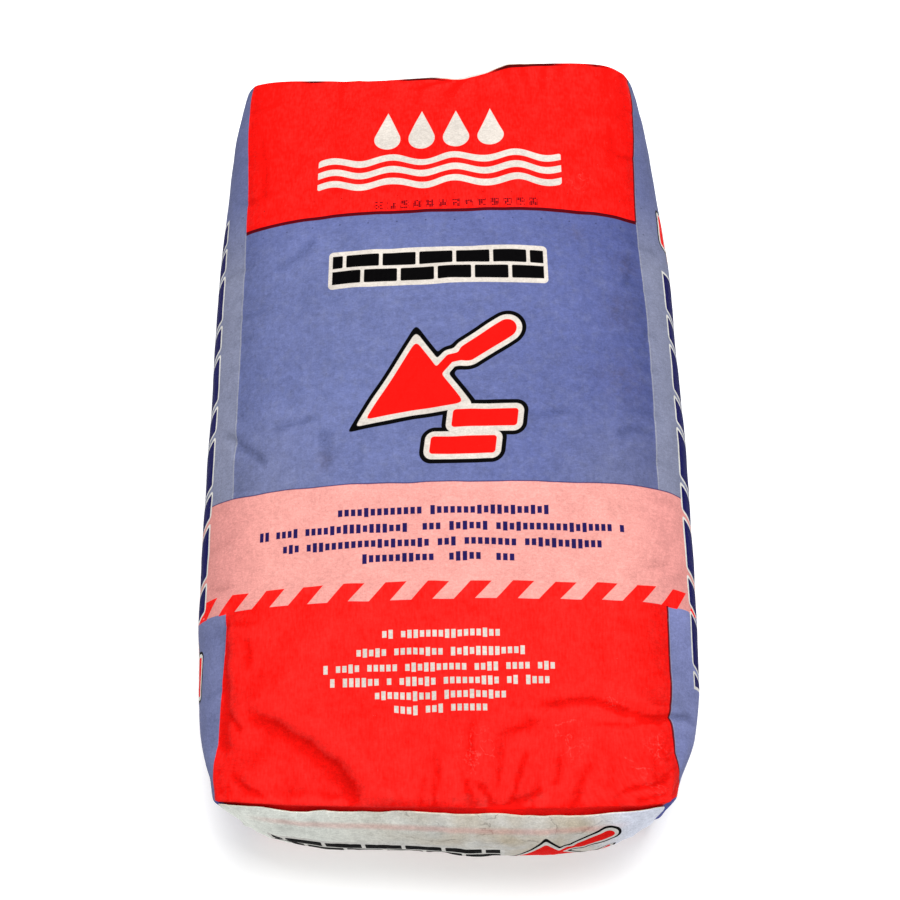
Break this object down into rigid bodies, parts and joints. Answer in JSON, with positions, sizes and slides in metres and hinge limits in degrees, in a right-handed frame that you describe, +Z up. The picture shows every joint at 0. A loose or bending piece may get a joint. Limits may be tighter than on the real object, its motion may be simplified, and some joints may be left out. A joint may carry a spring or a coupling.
{
  "type": "cement bag",
  "caption": "Full block-bottom paper valve sack of cement lying on its back, with a folded end at each side covered by a pasted sheet and a paper valve sleeve at one corner.",
  "frame": {"origin": "on the floor, in the middle of the sack", "axes": "+Z up, out of the printed front panel; +Y along the sack, from the foot end to the head end with the filling valve; +X to the right as seen from the foot end"},
  "size_m": [0.3358, 0.5828, 0.142],
  "materials": {
    "printed_paper": "calendered sack paper, printed in blue, red, pink and navy",
    "white_paper": "matt white sack paper, a little soiled",
    "kraft_paper": "matt unbleached kraft paper"
  },
  "bodies": {
    "root": {"sack": "printed_paper", "foot_cover_sheet": "white_paper", "head_cover_sheet": "white_paper", "valve_sleeve": "kraft_paper"}
  },
  "joints": []
}
